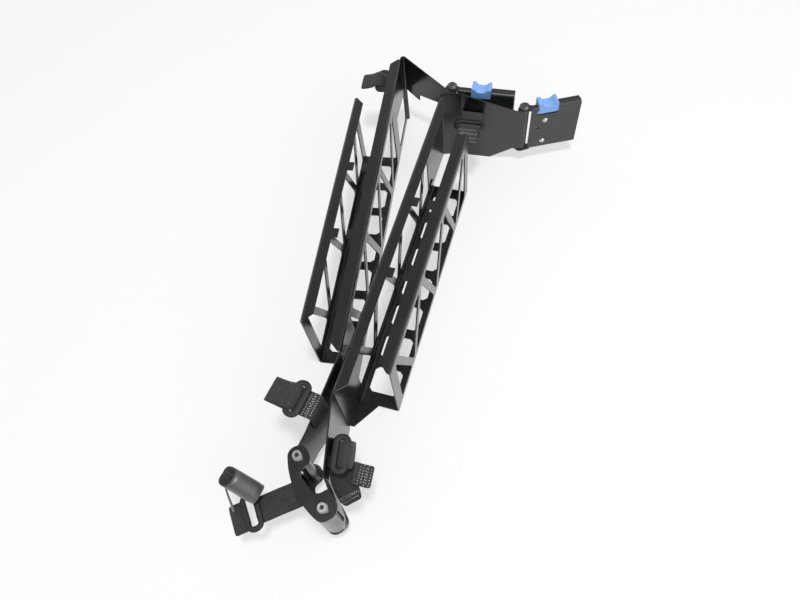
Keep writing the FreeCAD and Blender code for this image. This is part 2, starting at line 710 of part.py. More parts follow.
def make_elbow_guide():
    """Curved guide that carries the cables round the elbow, between its two plates."""
    body = new_body("elbow_guide_wall")
    ring = new_sketch(body, "XY_Plane", "hinge_low + hinge_gauge")
    middle = "elbow_bow - elbow_depth"
    circle(ring, "elbow_bow - guide_inset", "elbow_crown", middle)
    circle(ring, "elbow_bow - guide_inset - hinge_gauge", "elbow_crown", middle)
    pad(body, ring, "hinge_high - hinge_low - 2 * hinge_gauge")
    away = new_sketch(body, "XY_Plane")
    wide = "(2 * elbow_bow)"
    start = "0"
    end = "(elbow_span - 5)"
    rim = "(-elbow_depth / 4)"
    corners = [
        (start, f"-{wide}"),
        (start, rim),
        (end, rim),
        (end, f"-{wide}"),
        (f"elbow_crown + {wide}", f"-{wide}"),
        (f"elbow_crown + {wide}", wide),
        (f"elbow_crown - {wide}", wide),
        (f"elbow_crown - {wide}", f"-{wide}"),
    ]
    outline(away, corners)
    pocket(body, away)
    return body


def make_bracket_plate(label, neck):
    """Channel of bracket steel: front plate, two hinge leaves and a bottom flange."""
    body = new_body(label)
    front = f"-{KNUCKLE}"
    end = f"({neck} + release_length + socket_length)"
    section = new_sketch(body, "YZ_Plane", "web_start")
    back = "(housing_depth - 2 * hinge_gauge)"
    corners = [
        (f"{front} + {back}", "hinge_low"),
        (front, "hinge_low"),
        (front, "hinge_high"),
        (f"{front} + {back}", "hinge_high"),
    ]
    bent_sheet(section, corners, "hinge_gauge", -1, "(bend_radius / 2)")
    pad(body, section, f"{end} - web_start")
    for low in ("hinge_low", "hinge_high - hinge_gauge"):
        leaf = new_sketch(body, "XY_Plane", low)
        eye = "(head_radius + hinge_gauge)"
        corners = [
            (f"-{eye}", f"-{eye}"),
            ("web_start + bend_radius", f"-{KNUCKLE}"),
            ("web_start + bend_radius", f"{front} + {back}"),
            (f"-{eye}", f"{eye}"),
        ]
        outline(leaf, corners, radii=[f"{eye} - 0.6", None, None, f"{eye} - 0.6"])
        pad(body, leaf, "hinge_gauge")
    hole = new_sketch(body, "XY_Plane")
    circle(hole, "pin_radius")
    pocket(body, hole)
    seat = new_sketch(body, "XZ_Plane")
    corners = [
        (f"{neck} - slide_gap", "hinge_high + hinge_gauge"),
        (f"{neck} - slide_gap", RELEASE_SEAT),
        (f"{neck} + release_length + slide_gap", RELEASE_SEAT),
        (f"{neck} + release_length + slide_gap", "hinge_high + hinge_gauge"),
    ]
    outline(seat, corners)
    pocket(body, seat)
    fixing = new_sketch(body, "XZ_Plane")
    circle(fixing, "fixing_radius", f"{neck} + fixing_across", "fixing_height")
    pocket(body, fixing)
    rivets = new_sketch(body, "XZ_Plane")
    for x, z in rivet_places(neck):
        circle(rivets, "rivet_radius", x, z)
    pocket(body, rivets)
    return body


RELEASE_SEAT = "(hinge_high - 9)"


def rivet_places(neck):
    return [(f"{neck} + rivet_across", "rivet_high"), (f"{neck} + rivet_across", "rivet_low")]


def make_housing(label, neck):
    """Latch housing behind the bracket plate, with a slot for the stem and a socket for the rail."""
    body = new_body(label)
    start = f"({neck} + fixing_across + fixing_radius + hinge_gauge / 2)"
    end = f"({neck} + release_length + socket_length)"
    front = f"(-{KNUCKLE} + hinge_gauge)"
    block = new_sketch(body, "YZ_Plane", start)
    back = f"({front} + housing_depth)"
    low = "(hinge_low + hinge_gauge)"
    high = "(hinge_high - hinge_gauge)"
    corners = [(front, low), (back, low), (back, high), (front, high)]
    outline(block, corners, radii=["(bend_radius / 2)", "1", "1", "(bend_radius / 2)"])
    pad(body, block, f"{end} - {start}")
    seat = new_sketch(body, "XZ_Plane")
    step = f"{neck} + release_length + slide_gap"
    corners = [(f"{neck} - 1", "hinge_high"), (f"{neck} - 1", RELEASE_SEAT), (step, RELEASE_SEAT),
               (step, "hinge_high")]
    outline(seat, corners)
    pocket(body, seat)
    socket = new_sketch(body, "YZ_Plane", f"{neck} + release_length + hinge_gauge")
    middle = f"({front} + housing_depth / 2)"
    low = "((hinge_low + hinge_high) / 2 - tongue_height / 2)"
    high = "((hinge_low + hinge_high) / 2 + tongue_height / 2)"
    corners = [
        (f"{middle} - tongue_gap / 2", low),
        (f"{middle} + tongue_gap / 2", low),
        (f"{middle} + tongue_gap / 2", high),
        (f"{middle} - tongue_gap / 2", high),
    ]
    outline(socket, corners, "1")
    pocket(body, socket, "socket_length + 1", True)
    slot = new_sketch(body, "XY_Plane", f"{RELEASE_SEAT} - {STEM_DEPTH} - release_travel - slide_gap")
    first, last = stem_span(neck)
    corners = [
        (f"{first} - slide_gap", f"{middle} - {STEM_HALF} - slide_gap"),
        (f"{last} + slide_gap", f"{middle} - {STEM_HALF} - slide_gap"),
        (f"{last} + slide_gap", f"{middle} + {STEM_HALF} + slide_gap"),
        (f"{first} - slide_gap", f"{middle} + {STEM_HALF} + slide_gap"),
    ]
    outline(slot, corners)
    pocket(body, slot, "hinge_high", True)
    tooth = new_sketch(body, "YZ_Plane", f"{last}")
    corners = [
        (f"{middle} - {STEM_HALF} - slide_gap", f"{TOOTH_LOW} - release_travel - slide_gap"),
        (f"{middle} + {STEM_HALF} + slide_gap", f"{TOOTH_LOW} - release_travel - slide_gap"),
        (f"{middle} + {STEM_HALF} + slide_gap", f"{TOOTH_LOW} + {TOOTH_HIGH} + slide_gap"),
        (f"{middle} - {STEM_HALF} - slide_gap", f"{TOOTH_LOW} + {TOOTH_HIGH} + slide_gap"),
    ]
    outline(tooth, corners)
    pocket(body, tooth, "release_length", True)
    rivets = new_sketch(body, "XZ_Plane")
    for x, z in rivet_places(neck):
        circle(rivets, "rivet_radius", x, z)
    pocket(body, rivets)
    return body


STEM_DEPTH = "16"
STEM_HALF = "1.4"
TOOTH_LOW = f"({RELEASE_SEAT} - {STEM_DEPTH})"
TOOTH_HIGH = "5"


def stem_span(neck):
    return f"({neck} + 11)", f"({neck} + release_length - 2)"


def make_release(label, neck):
    """Sprung release tab: saddle for the thumb, a stem in the housing and a latch tooth."""
    body = new_body(label)
    front = f"-{KNUCKLE}"
    middle = f"({front} + hinge_gauge + housing_depth / 2)"
    base = f"({RELEASE_SEAT} + release_travel + slide_gap)"
    crest = "(hinge_high + 5)"
    saddle = new_sketch(body, "XZ_Plane", f"{KNUCKLE} + 1.6")
    corners = [
        (neck, base),
        (f"{neck} + release_length", base),
        (f"{neck} + release_length", crest),
        (f"{neck} + release_length - 2.5", crest),
        (f"{neck} + release_length - 6", "hinge_high + 1.2"),
        (f"{neck} + 6", "hinge_high + 1.2"),
        (f"{neck} + 2.5", crest),
        (neck, crest),
    ]
    outline(saddle, corners, radii=["2", "2", "1", "1", "4", "4", "1", "1"])
    pad(body, saddle, "1.6 + hinge_gauge + housing_depth", True)
    stem = new_sketch(body, "XY_Plane", f"{RELEASE_SEAT} - {STEM_DEPTH}")
    first, last = stem_span(neck)
    corners = [
        (first, f"{middle} - {STEM_HALF}"),
        (last, f"{middle} - {STEM_HALF}"),
        (last, f"{middle} + {STEM_HALF}"),
        (first, f"{middle} + {STEM_HALF}"),
    ]
    outline(stem, corners)
    pad(body, stem, f"{base} - {RELEASE_SEAT} + {STEM_DEPTH} + 1")
    tooth = new_sketch(body, "XZ_Plane", f"-{middle} + {STEM_HALF}")
    corners = [
        (f"{last} - 1", TOOTH_LOW),
        (f"{last} + 2", TOOTH_LOW),
        (f"{last} + 5", f"{TOOTH_LOW} + {TOOTH_HIGH}"),
        (f"{last} - 1", f"{TOOTH_LOW} + {TOOTH_HIGH}"),
    ]
    outline(tooth, corners)
    pad(body, tooth, f"2 * {STEM_HALF}", True)
    return body


def turned_rivet(shape_length, shank, head, crown):
    """Rivet along +Z from the origin, with a low head at the origin's side and a flush tail."""
    body = Part.makeCylinder(shank, shape_length)
    dome = Part.makeCone(head, head * 0.6, crown, FreeCAD.Vector(0, 0, 0), FreeCAD.Vector(0, 0, -1))
    return body.fuse(dome)


def place(x, y, z, turn=0.0):
    return FreeCAD.Placement(FreeCAD.Vector(x, y, z), FreeCAD.Rotation(FreeCAD.Vector(0, 0, 1), turn))


def make_group(label, shapes):
    """Identical fasteners kept as one object of separate solids."""
    feature = doc.addObject("Part::Feature", label)
    feature.Label = label
    feature.Shape = Part.makeCompound(shapes)
    return feature


def bracket_rivets(label, neck):
    """Rivets that hold the latch housing to the bracket plate."""
    front = -value(KNUCKLE)
    length = value("hinge_gauge + housing_depth")
    shapes = []
    for x, z in rivet_places(neck):
        rivet = turned_rivet(length, value("rivet_radius"), value("rivet_head"), value("rivet_crown"))
        rivet.rotate(FreeCAD.Vector(), FreeCAD.Vector(1, 0, 0), -90)
        rivet.translate(FreeCAD.Vector(value(x), front, value(z)))
        shapes.append(rivet)
    return make_group(label, shapes)


def make_strap(label, corners, side, bend, width="strap_width"):
    """Strap bent in a vertical plane that stands across its carrier, +X pointing away from it."""
    body = new_body(label)
    path = new_sketch(body, "XZ_Plane", f"{width} / 2")
    bent_sheet(path, corners, "strap_gauge", side, bend)
    pad(body, path, width, True)
    return body


def over_edge(top, foot, reach):
    """Strap that climbs its carrier, crosses over at the top and folds back under itself."""
    return [
        ("-seat_gap", foot),
        ("-seat_gap", top),
        (reach, top),
        (reach, f"{top} - strap_fold"),
        (f"{reach} * 0.4", f"{top} - strap_fold"),
    ]


def box_about(x, y, half_x, half_y):
    """Corners of a rectangle about a centre."""
    return [
        (f"{x} - {half_x}", f"{y} - {half_y}"),
        (f"{x} + {half_x}", f"{y} - {half_y}"),
        (f"{x} + {half_x}", f"{y} + {half_y}"),
        (f"{x} - {half_x}", f"{y} + {half_y}"),
    ]


def make_buckle(label, height, x, y="0"):
    """Moulded ring of a strap, an oval with one slot for the band."""
    body = new_body(label)
    ring = new_sketch(body, "XY_Plane", height)
    rim = "(buckle_width / 2 - strap_bend / 4)"
    outline(ring, box_about(x, y, "buckle_width / 2", "buckle_length / 2"), rim)
    outline(ring, box_about(x, y, "buckle_slot / 2", "(strap_width + strap_bend / 2) / 2"))
    pad(body, ring, "buckle_gauge")
    return body


# Where each body of the arm stands at rest
bracket_origin = place(
    -value("outer_neck + fixing_across"),
    value(f"{KNUCKLE} - hinge_gauge / 2"),
    -value("fixing_height"),
)
outer_at = bracket_origin
rear_turn = place(0, 0, 0, -value("rear_lean"))
rear_pin = rear_turn.multVec(FreeCAD.Vector(value("rear_mount_across"), value("rear_mount_along"), 0))
rear_at = bracket_origin.multiply(place(-rear_pin.x, -rear_pin.y, 0, -value("rear_lean")))
elbow_at = place(rear_at.Base.x, rear_at.Base.y, rear_at.Base.z, -value("elbow_turn"))
front_elbow = elbow_at.multVec(FreeCAD.Vector(value("elbow_span"), 0, 0))
front_at = place(front_elbow.x, front_elbow.y, front_elbow.z, -value("front_lean"))
inner_pin = front_at.multVec(FreeCAD.Vector(value("front_mount_across"), value("front_mount_along"), 0))
inner_at = place(inner_pin.x, inner_pin.y, inner_pin.z, value("inner_turn"))

front_elbow_at = place(front_elbow.x, front_elbow.y, front_elbow.z, -value("elbow_turn"))

# Where the straps stand on their carriers, each in its carrier's own frame
leaf_run = value("elbow_bend")
leaf_rise = value(f"{HALF} + {KNUCKLE} - sheet_gauge")
leaf_turn = math.degrees(math.atan2(leaf_run, leaf_rise))
elbow_strap_at = rear_at.multiply(place(
    value("elbow_strap_place") * leaf_rise / leaf_run - value(f"{KNUCKLE} - sheet_gauge"),
    value("elbow_strap_place"), 0, leaf_turn + 90))
mount_strap_at = rear_at.multiply(place(value(f"{HALF} - sheet_gauge"), value("mount_strap_place"), 0, 180))
end_rise = value(f"front_mount_along - {KNUCKLE} + sheet_gauge - front_wall_run - crease_along")
end_run = value(f"front_mount_across + {HALF} - crease_across")
end_slope = math.atan2(end_rise, end_run)
end_along = value(f"end_strap_across + {HALF} - crease_across") * end_rise / end_run
end_face = value("front_wall_run + crease_along") + end_along
end_strap_at = front_at.multiply(place(
    value("end_strap_across"), end_face - value("sheet_gauge") / math.cos(end_slope), 0,
    math.degrees(end_slope) - 90))
hook_x = value("(nose_radius - sheet_gauge) * cos(hook_angle) - hook_run * sin(hook_angle)")
hook_y = value("(nose_radius - sheet_gauge) * sin(hook_angle) + hook_run * cos(hook_angle)")
arch_lean = math.atan2(hook_x + value(HALF), leaf_run - hook_y)
arch_x = hook_x - (value("arch_place") - hook_y) * math.tan(arch_lean)
arch_at = front_at.multiply(place(
    arch_x + value("sheet_gauge") / math.cos(arch_lean), value("arch_place"), 0, math.degrees(arch_lean)))
guide_radius = value("elbow_bow - guide_inset")
guide_turn = math.radians(value("guide_strap_turn"))
guide_strap_at = elbow_at.multiply(place(
    value("elbow_crown") - guide_radius * math.sin(guide_turn),
    value("elbow_bow - elbow_depth") - guide_radius * math.cos(guide_turn),
    0, -90 - math.degrees(guide_turn)))
roll_at = guide_strap_at.multiply(place(value("roll_reach"), -value("roll_across"), 0, value("roll_turn")))

nodes = []


def keep(feature, placement):
    feature.Placement = placement
    nodes.append(feature)


for name, neck, where in (("outer", "outer_neck", outer_at), ("inner", "inner_neck", inner_at)):
    keep(make_bracket_plate(name + "_bracket_plate", neck), where)
    keep(make_housing(name + "_latch_housing", neck), where)
    keep(make_release(name + "_release_tab", neck), where)
    keep(bracket_rivets(name + "_bracket_rivets", neck), where)
    keep(make_pin(name + "_hinge_pin", "head_radius"), where)

keep(make_rear_wall(), rear_at)
keep(make_tray("rear_tray", 1), rear_at)
keep(make_lip("rear_wall_lip", 1, *REAR_LIP), rear_at)
keep(make_lip("rear_tray_lip", -1, *TRAY_LIP), rear_at)
keep(make_tabs("rear_wall_tabs", 1), rear_at)
keep(make_tabs("rear_tray_tabs", -1), rear_at)
keep(make_front_wall(), front_at)
keep(make_tray("front_tray", -1), front_at)
keep(make_lip("front_wall_lip", -1, *FRONT_LIP), front_at)
keep(make_lip("front_tray_lip", 1, *TRAY_LIP), front_at)
keep(make_tabs("front_wall_tabs", -1), front_at)
keep(make_tabs("front_tray_tabs", 1), front_at)
keep(make_bush("front_elbow_bush", "nose_radius - sheet_gauge"), front_at)

keep(make_elbow_plate("elbow_top_plate", "hinge_high - hinge_gauge"), elbow_at)
keep(make_elbow_plate("elbow_bottom_plate", "hinge_low"), elbow_at)
keep(make_elbow_guide(), elbow_at)
keep(make_pin("rear_elbow_pin", "elbow_head_radius"), elbow_at)
keep(make_pin("front_elbow_pin", "elbow_head_radius"), front_elbow_at)

on_top = "strap_gauge + seat_gap"
path = over_edge("elbow_strap_top", "elbow_strap_top - strap_width * 1.2", "elbow_strap_reach")
keep(make_strap("rear_elbow_strap", path, 1, "strap_bend"), elbow_strap_at)
ring = make_buckle("rear_elbow_buckle", f"elbow_strap_top + {on_top}", "elbow_strap_reach * 0.38")
keep(ring, elbow_strap_at)
path = [("seat_gap + strap_gauge", "mount_strap_height - strap_width"),
        ("seat_gap + strap_gauge", "mount_strap_height"),
        ("mount_strap_reach", "mount_strap_height")]
keep(make_strap("rear_mount_strap", path, 1, "strap_bend"), mount_strap_at)
ring = make_buckle("rear_mount_buckle", f"mount_strap_height + {on_top}", "mount_strap_reach * 0.45")
keep(ring, mount_strap_at)
path = [("seat_gap + strap_gauge", "end_strap_height - strap_width * 0.8"),
        ("seat_gap + strap_gauge", "end_strap_height"),
        ("end_strap_reach", "end_strap_height"), ("end_strap_reach", "end_strap_height - strap_fold"),
        ("end_strap_reach * 0.4", "end_strap_height - strap_fold")]
keep(make_strap("front_mount_strap", path, 1, "strap_bend"), end_strap_at)
ring = make_buckle("front_mount_buckle", f"end_strap_height + {on_top}", "end_strap_reach * 0.61")
keep(ring, end_strap_at)
path = [("seat_gap + strap_gauge", "arch_height - arch_depth * 1.8"),
        ("seat_gap + strap_gauge", "arch_height"),
        ("arch_depth", "arch_height"),
        ("arch_depth", "arch_height - arch_depth * 1.6"),
        ("arch_depth * 1.6", "arch_height - arch_depth * 2")]
keep(make_strap("front_elbow_strap", path, 1, "(arch_depth / 2 - strap_gauge)"), arch_at)
ring = make_buckle("front_elbow_buckle", f"arch_height + {on_top}", "arch_depth * 0.45", "-arch_depth / 4")
keep(ring, arch_at)
path = [("seat_gap", "guide_strap_height"),
        ("guide_strap_reach * 0.8", "guide_strap_height"),
        ("guide_strap_reach", "guide_strap_height - strap_gauge")]
keep(make_strap("elbow_guide_strap", path, -1, "strap_bend"), guide_strap_at)
keep(make_buckle("elbow_guide_buckle", "guide_strap_height + seat_gap", "guide_ring_reach"), guide_strap_at)
low = "(guide_strap_height + buckle_gauge + strap_gauge + 2 * seat_gap)"
path = [("roll_size * 0.1", low),
        ("-roll_size / 2", low),
        ("-roll_size / 2", f"{low} + roll_size"),
        ("roll_size / 2", f"{low} + roll_size"),
        ("roll_size / 2", f"{low} + 2 * strap_gauge")]
keep(make_strap("elbow_guide_roll", path, 1, "(roll_size * 0.42)", "roll_width"), roll_at)

doc.recompute()

failed = [item.Label for item in doc.Objects if "Invalid" in item.State or "Error" in item.State]
for feature in nodes:
    if feature.Shape.isNull() or not feature.Shape.isValid():
        failed.append(feature.Label)
if failed:
    raise RuntimeError("failed: " + ", ".join(failed))

for feature in nodes:
    feature.Shape.exportStep(os.path.join("parts", feature.Label + ".step"))
print(len(nodes), "nodes")
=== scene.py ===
import bmesh
import bpy
import json
import math
from mathutils import Matrix, Vector


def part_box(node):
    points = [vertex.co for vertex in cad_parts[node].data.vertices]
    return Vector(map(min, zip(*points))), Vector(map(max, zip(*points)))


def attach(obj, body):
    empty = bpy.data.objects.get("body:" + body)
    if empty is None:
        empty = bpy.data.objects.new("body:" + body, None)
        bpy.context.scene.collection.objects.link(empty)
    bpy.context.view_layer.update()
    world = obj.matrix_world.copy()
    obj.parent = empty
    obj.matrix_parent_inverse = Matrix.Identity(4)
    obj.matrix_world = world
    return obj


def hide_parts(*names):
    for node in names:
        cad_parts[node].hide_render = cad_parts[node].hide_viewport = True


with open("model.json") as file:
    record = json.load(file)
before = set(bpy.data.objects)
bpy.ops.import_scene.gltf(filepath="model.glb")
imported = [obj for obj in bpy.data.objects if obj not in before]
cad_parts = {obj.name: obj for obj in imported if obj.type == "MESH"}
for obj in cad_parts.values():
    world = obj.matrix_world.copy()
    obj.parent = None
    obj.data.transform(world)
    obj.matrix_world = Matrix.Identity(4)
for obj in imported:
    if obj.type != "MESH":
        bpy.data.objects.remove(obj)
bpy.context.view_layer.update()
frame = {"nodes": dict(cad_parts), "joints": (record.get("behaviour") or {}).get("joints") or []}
nodes = frame["nodes"]
hinges = {joint["name"]: joint["pos_m"] for joint in frame["joints"] if "pos_m" in joint}

MM = 0.001
FLOOR_Z = -0.043


def rotation(degrees, axis="Z"):
    return Matrix.Rotation(math.radians(degrees), 4, axis)


def add_object(name, data):
    obj = bpy.data.objects.new(name, data)
    bpy.context.collection.objects.link(obj)
    return obj


# Camera at the photograph's place, found from the perspective of the troughs:
# set back from the outer hinge, then rolled and tilted down
CAMERA_PIVOT = (-0.0215, 0.0041, 0.472)
CAMERA_SHIFT = (-0.0148, -0.4880, 0.0)
CAMERA_TURN, CAMERA_ROLL, CAMERA_TILT = 12.8, 4.7593, 29.0542
SENSOR_WIDTH, FOCAL_LENGTH = 36.0, 28.35

camera_data = bpy.data.cameras.new("camera")
camera_data.sensor_width = SENSOR_WIDTH
camera_data.lens = FOCAL_LENGTH
camera_data.clip_start = 0.01
camera_data.clip_end = 50.0
camera = add_object("camera", camera_data)
stand = Matrix.Translation(CAMERA_PIVOT) @ rotation(CAMERA_TURN) @ Matrix.Translation(CAMERA_SHIFT)
camera.matrix_world = stand @ rotation(CAMERA_ROLL, "Y") @ rotation(CAMERA_TILT, "X")
bpy.context.scene.camera = camera


# Node helpers
def feed(tree, node, inputs):
    """Links each input that is given a socket, and sets the others to their plain value."""
    for key, value in inputs.items():
        if isinstance(value, bpy.types.NodeSocket):
            tree.links.new(value, node.inputs[key])
        else:
            node.inputs[key].default_value = value


def add_node(tree, kind, inputs):
    node = tree.nodes.new("ShaderNode" + kind)
    feed(tree, node, inputs)
    return node


def calculated(tree, operation, first, second):
    node = add_node(tree, "Math", {0: first, 1: second})
    node.operation = operation
    return node.outputs[0]


def object_coordinates(tree, stretch=(1, 1, 1)):
    coordinates = tree.nodes.new("ShaderNodeTexCoord").outputs["Object"]
    mapping = add_node(tree, "Mapping", {"Vector": coordinates, "Scale": stretch})
    return mapping.outputs["Vector"]


def noise(tree, vector, scale, detail, roughness):
    inputs = {"Vector": vector, "Scale": scale, "Detail": detail, "Roughness": roughness}
    return add_node(tree, "TexNoise", inputs).outputs["Fac"]


def ramp(tree, value, stops):
    """Colours at positions from 0 to 1, given as (position, colour) pairs."""
    node = add_node(tree, "ValToRGB", {"Fac": value})
    for element, (position, colour) in zip(node.color_ramp.elements, stops):
        element.position = position
        element.color = (*colour, 1.0)
    return node.outputs["Color"]


def span(tree, value, low, high):
    """Spreads a value from 0 to 1 over low to high."""
    node = add_node(tree, "MapRange", {"Value": value, "To Min": low, "To Max": high})
    return node.outputs["Result"]


def bump(tree, height, strength, distance):
    inputs = {"Height": height, "Strength": strength, "Distance": distance}
    return add_node(tree, "Bump", inputs).outputs["Normal"]


# Materials: noise arguments are scale, detail and roughness
def new_material(name):
    material = bpy.data.materials.new(name)
    material.use_nodes = True
    tree = material.node_tree
    return material, tree, tree.nodes["Principled BSDF"]


def painted(name, dark, light, gloss, coat):
    """Gloss enamel on sheet steel: faint orange peel, dust and rubbed patches."""
    material, tree, shader = new_material(name)
    vector = object_coordinates(tree)
    patches = noise(tree, vector, 24.0, 6.0, 0.6)
    smears = noise(tree, vector, 60.0, 5.0, 0.55)
    peel = noise(tree, vector, 900.0, 2.0, 0.4)
    feed(tree, shader, {
        "Base Color": ramp(tree, patches, [(0.35, dark), (0.75, light)]),
        "Roughness": span(tree, smears, *gloss),
        "Normal": bump(tree, peel, 0.12, 0.0003),
        "Specular IOR Level": 0.75,
        "Coat Weight": coat,
        "Coat Roughness": 0.14,
    })
    return material


def steel(name, colour, gloss):
    """Bright plated steel with fine turning marks."""
    material, tree, shader = new_material(name)
    marks = noise(tree, object_coordinates(tree, (1, 1, 12)), 500.0, 3.0, 0.5)
    shade = tuple(0.8 * c for c in colour)
    feed(tree, shader, {
        "Base Color": ramp(tree, marks, [(0.3, shade), (0.7, colour)]),
        "Roughness": span(tree, marks, *gloss),
        "Normal": bump(tree, marks, 0.08, 0.0001),
        "Metallic": 1.0,
    })
    return material


def moulded(name, dark, light, gloss):
    """Moulded plastic with a fine spark-eroded grain."""
    material, tree, shader = new_material(name)
    vector = object_coordinates(tree)
    patches = noise(tree, vector, 90.0, 3.0, 0.5)
    grain = noise(tree, vector, 2200.0, 2.0, 0.6)
    feed(tree, shader, {
        "Base Color": ramp(tree, patches, [(0.3, dark), (0.8, light)]),
        "Roughness": span(tree, grain, *gloss),
        "Normal": bump(tree, grain, 0.15, 0.0002),
        "Specular IOR Level": 0.5,
    })
    return material


def fabric(name, dark, light, fuzz):
    """Looped pile on a woven tape: fine speckle, soft sheen and a rough nap."""
    material, tree, shader = new_material(name)
    vector = object_coordinates(tree)
    loops = add_node(tree, "TexVoronoi", {"Vector": vector, "Scale": 1500.0}).outputs["Distance"]
    patches = noise(tree, vector, 160.0, 5.0, 0.65)
    speckle = calculated(tree, "MULTIPLY", loops, span(tree, patches, 0.6, 1.5))
    feed(tree, shader, {
        "Base Color": ramp(tree, speckle, [(0.15, dark), (0.75, light)]),
        "Roughness": span(tree, patches, 0.75, 0.95),
        "Normal": bump(tree, loops, 0.6, 0.0004),
        "Specular IOR Level": 0.25,
        "Sheen Weight": fuzz,
        "Sheen Roughness": 0.45,
    })
    return material


def satin(name, dark, light):
    """Tightly woven smooth side of a band, with fine ribs."""
    material, tree, shader = new_material(name)
    weave = noise(tree, object_coordinates(tree, (1, 1, 5)), 900.0, 3.0, 0.5)
    soft = noise(tree, object_coordinates(tree), 45.0, 3.0, 0.5)
    feed(tree, shader, {
        "Base Color": ramp(tree, weave, [(0.25, dark), (0.8, light)]),
        "Roughness": span(tree, soft, 0.32, 0.5),
        "Normal": bump(tree, weave, 0.12, 0.0002),
        "Specular IOR Level": 0.8,
        "Sheen Weight": 0.3,
    })
    return material


black_paint = painted("black_paint", (0.003, 0.003, 0.0035), (0.008, 0.008, 0.009), (0.16, 0.3), 0.1)
grey_paint = painted("grey_paint", (0.008, 0.009, 0.0095), (0.016, 0.017, 0.018), (0.3, 0.45), 0.05)
bright_steel = steel("bright_steel", (0.72, 0.72, 0.70), (0.18, 0.36))
dark_steel = steel("dark_steel", (0.16, 0.16, 0.16), (0.22, 0.4))
pin_steel = steel("pin_steel", (0.5, 0.5, 0.49), (0.24, 0.42))
# Near-black steel for the floor of the screw sockets: painted shade standing in for the recess's shadow
socket_painted_shade = steel("socket_painted_shade", (0.05, 0.05, 0.05), (0.4, 0.6))
blue_plastic = moulded("blue_plastic", (0.18, 0.36, 0.74), (0.23, 0.42, 0.80), (0.3, 0.5))
black_plastic = moulded("black_plastic", (0.008, 0.008, 0.008), (0.014, 0.014, 0.014), (0.35, 0.55))
ring_black = moulded("ring_black", (0.006, 0.006, 0.0065), (0.013, 0.013, 0.0135), (0.5, 0.7))
hook_plastic = moulded("hooks", (0.14, 0.14, 0.145), (0.52, 0.52, 0.53), (0.3, 0.5))
webbing = fabric("webbing", (0.012, 0.012, 0.013), (0.055, 0.055, 0.057), 0.12)
smooth_side = satin("smooth_side", (0.035, 0.036, 0.036), (0.075, 0.076, 0.074))


# The nodes whose shape stays
def dress(material, *names):
    for name in names:
        materials = nodes[name].data.materials
        materials.clear()
        materials.append(material)


for side in ("outer", "inner"):
    dress(grey_paint, side + "_bracket_plate")
    dress(black_plastic, side + "_latch_housing")
    dress(blue_plastic, side + "_release_tab")
    dress(bright_steel, side + "_bracket_rivets")
    dress(dark_steel, side + "_hinge_pin")
for arm in ("rear", "front"):
    dress(black_paint, arm + "_long_wall", arm + "_tray", arm + "_wall_lip", arm + "_tray_lip")
    dress(black_paint, arm + "_wall_tabs", arm + "_tray_tabs")
dress(black_paint, "elbow_top_plate", "elbow_bottom_plate", "elbow_guide_wall")
dress(black_plastic, "front_elbow_bush")
dress(pin_steel, "rear_elbow_pin", "front_elbow_pin")


# New pieces: meshes whose faces point outward
def add_piece(name, verts, faces, kinds, smooth, materials, body):
    """kinds gives each face's place in materials, and smooth whether it is shaded smooth."""
    mesh = bpy.data.meshes.new(name)
    mesh.from_pydata(verts, [], faces)
    for material in materials:
        mesh.materials.append(material)
    mesh.polygons.foreach_set("material_index", kinds)
    mesh.polygons.foreach_set("use_smooth", smooth)
    shell = bmesh.new()
    shell.from_mesh(mesh)
    bmesh.ops.recalc_face_normals(shell, faces=shell.faces)
    shell.to_mesh(mesh)
    shell.free()
    mesh.update()
    obj = add_object(name, mesh)
    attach(obj, body)
    return obj


# Straps: soft bands threaded through rounded rings, with hook patches. All sizes from
# here to the end of the roll are in millimetres.
BAND_THICK, BAND_WIDTH = 1.4, 20.0
BAND_CORNER = 1.8                            # radius of a band's corners, seen flat
STEP = 1.2                                   # between cross-sections along a band
COLUMNS = (-1.0, -0.6, -0.2, 0.2, 0.6, 1.0)  # across half a band's width
EDGE_THICK = 0.55                            # share of the thickness left at the edges
WAVE_LENGTH, WAVE_FADE = 19.0, 8.0           # a band lies flat towards its ends
CURL_HEIGHT, CURL_TURN = 0.6, 3.1            # share of the wave, and radians to each edge
RING_LENGTH, RING_WIDTH, RING_HEIGHT = 30.0, 14.0, 3.0
RING_CORNER, SLOT_CORNER = 6.5, 2.2
SLOT_LENGTH, TIGHT_SLOT, OPEN_SLOT = 21.1, 3.6, 6.0
RING_SIDES, RING_SQUARENESS = 16, 0.6        # of the ring's rounded cross-section
HOOK_PITCH, HOOK_SIZE, HOOK_HEIGHT = 1.95, 0.4, 0.65
HOOK_SINK, HOOK_TAPER, HOOK_LEAN = 0.1, 0.8, 0.25
HOOK_STAGGER = 0.8                           # of the pitch, between one row and the next
SQUARE = ((-1, -1), (1, -1), (1, 1), (-1, 1))
SIDEWAYS = (0.0, 1.0, 0.0)
PILE, HOOKS, SATIN = range(3)
CLOTH = (webbing, hook_plastic, smooth_side)


def smoothed(points, rounds=3):
    """Corner cutting: the run keeps its ends and rounds between its points."""
    for _ in range(rounds):
        cut = [points[0]]
        for a, b in zip(points, points[1:]):
            cut.append(tuple(p * 0.75 + q * 0.25 for p, q in zip(a, b)))
            cut.append(tuple(p * 0.25 + q * 0.75 for p, q in zip(a, b)))
        cut.append(points[-1])
        points = cut
    return points


def rounded_box(half_x, half_y, radius, steps=8):
    """Points round a box with rounded corners, the same count for any size."""
    points = []
    radius = min(radius, half_x, half_y)
    for quarter, (sx, sy) in enumerate(((1, 1), (-1, 1), (-1, -1), (1, -1))):
        for i in range(steps):
            turn = math.pi / 2 * (quarter + i / (steps - 1))
            points.append((sx * (half_x - radius) + radius * math.cos(turn),
                           sy * (half_y - radius) + radius * math.sin(turn)))
    return points


